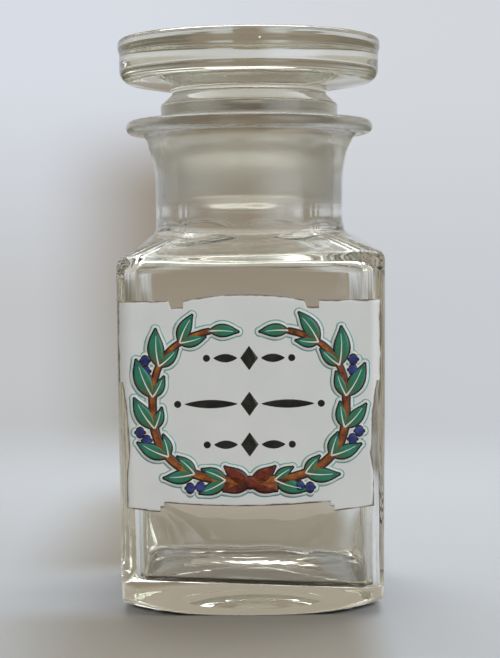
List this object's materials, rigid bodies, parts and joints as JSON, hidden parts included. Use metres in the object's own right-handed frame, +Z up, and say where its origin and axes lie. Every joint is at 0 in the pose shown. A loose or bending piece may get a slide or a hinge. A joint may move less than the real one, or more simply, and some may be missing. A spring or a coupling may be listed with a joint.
{
  "type": "stoppered reagent bottle",
  "caption": "Square wide-mouth glass pharmacy bottle for dry reagents, with a lift-out ground disc stopper and a fired enamel label on the front face.",
  "frame": {"origin": "middle of the base, on the plane that the bottle stands on", "axes": "+Z up along the neck's axis, which is the way the stopper lifts out; the label faces -Y; +X is to the right of a person who reads the label"},
  "size_m": [0.067, 0.067, 0.1418],
  "materials": {
    "bottle_glass": "clear blown glass, faintly grey-green, fire polished, ground matt inside the neck",
    "stopper_glass": "clear pressed glass, polished disc, plug ground matt",
    "label_enamel": "white opaque vitreous enamel, glossy, with a coloured painted border"
  },
  "bodies": {
    "bottle": {"bottle": "bottle_glass", "label": "label_enamel"},
    "stopper": {"stopper": "stopper_glass"}
  },
  "joints": [
    {"name": "stopper_lift", "type": "slide", "parent": "bottle", "child": "stopper", "axis": [0, 0, 1], "range_m": [0, 0.07]}
  ]
}
